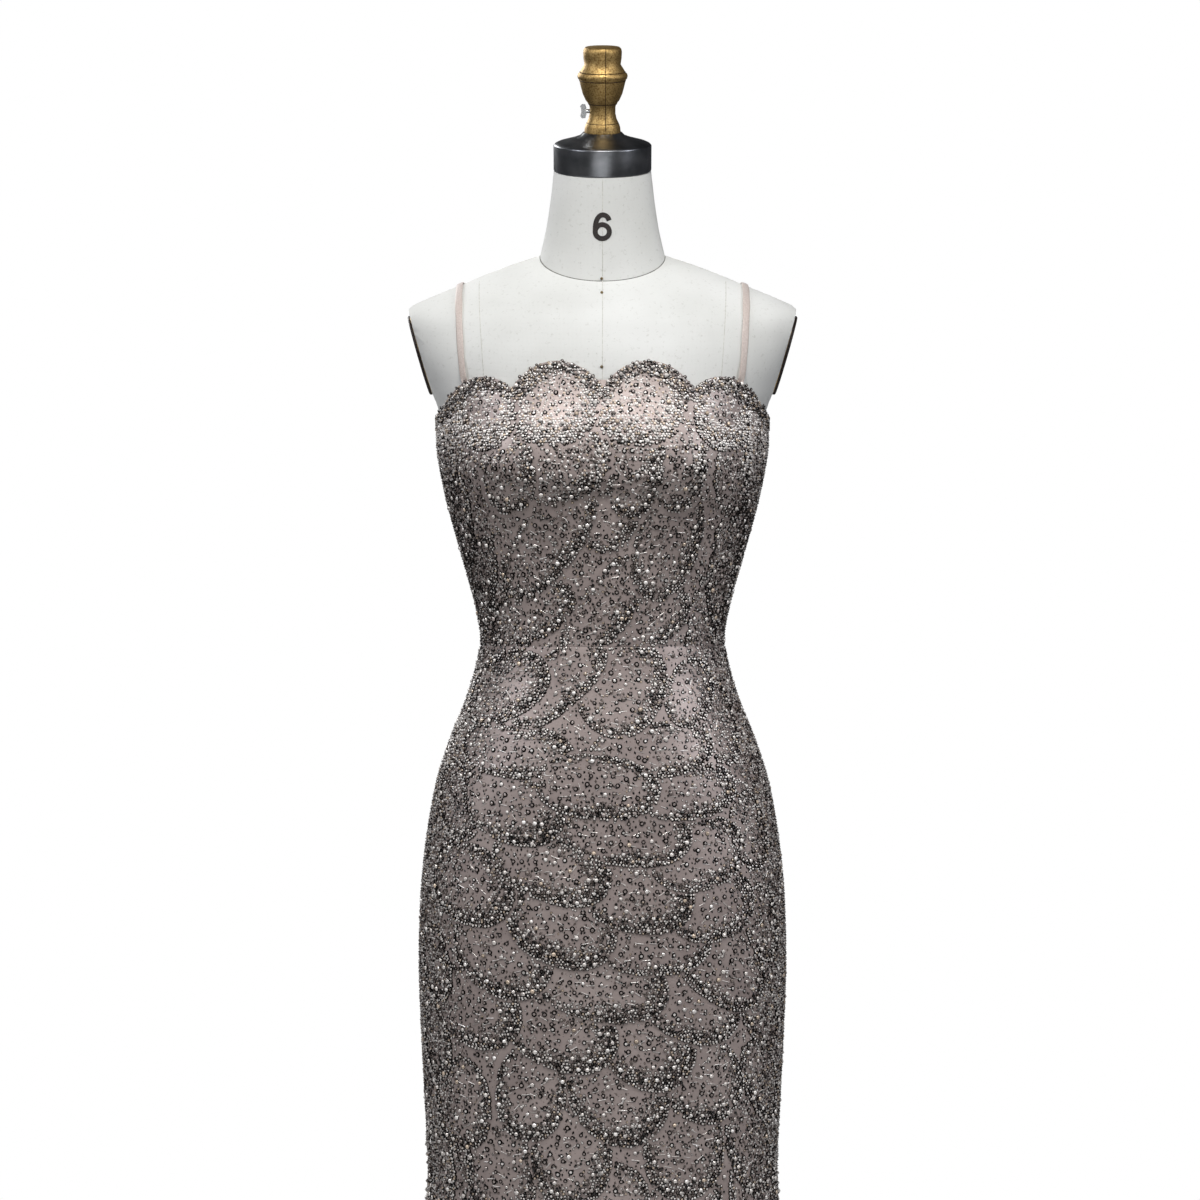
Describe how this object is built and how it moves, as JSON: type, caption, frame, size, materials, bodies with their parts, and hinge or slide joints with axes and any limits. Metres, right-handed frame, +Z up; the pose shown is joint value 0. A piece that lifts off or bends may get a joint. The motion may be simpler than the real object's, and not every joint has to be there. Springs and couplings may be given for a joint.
{
  "type": "evening gown on a limbless dress form",
  "caption": "Fitted beaded evening gown with a scalloped neckline, thin straps and a flared hem, worn by a canvas dress form on a round base.",
  "frame": {"origin": "on the floor, at the centre of the round base's underside, under the pole", "axes": "+Z up along the pole; the front of the gown faces -Y; the wearer's left is at +X"},
  "size_m": [0.6122, 0.5422, 1.6366],
  "materials": {
    "canvas": "tightly woven off-white cotton canvas stretched over a shell",
    "board": "dark brown leather-covered board",
    "steel": "polished dark steel",
    "gilt": "cast and gilt, slightly pitted",
    "iron": "black enamelled iron",
    "beaded_satin": "mauve taupe satin under beaded net, with silver and smoke glass beads",
    "ribbon": "pale mauve satin ribbon",
    "zip_coil": "nylon coil on woven tape"
  },
  "bodies": {
    "gown_on_form": {"form_body": "canvas", "arm_plate_left": "board", "arm_plate_right": "board", "neck_cap": "steel", "finial": "gilt", "stand_pole": "steel", "stand_base": "iron", "bodice_front": "beaded_satin", "bodice_back_left": "beaded_satin", "bodice_back_right": "beaded_satin", "skirt_front": "beaded_satin", "skirt_back_left": "beaded_satin", "skirt_back_right": "beaded_satin", "strap_left": "ribbon", "strap_right": "ribbon", "zip_chain": "zip_coil", "zip_slider": "steel"},
    "zip_pull_tab": {"zip_pull": "steel"},
    "cap_screw": {"thumbscrew": "steel"}
  },
  "joints": [
    {"name": "zip_pull_swing", "type": "hinge", "parent": "gown_on_form", "child": "zip_pull_tab", "pos_m": [0, 0.12134, 1.243], "axis": [1, 0, 0], "range_deg": [0, 150]},
    {"name": "cap_screw_turn", "type": "hinge", "parent": "gown_on_form", "child": "cap_screw", "pos_m": [-0.017, -0.0138, 1.57146], "axis": [-1, 0, 0], "range_deg": [0, 180]}
  ]
}
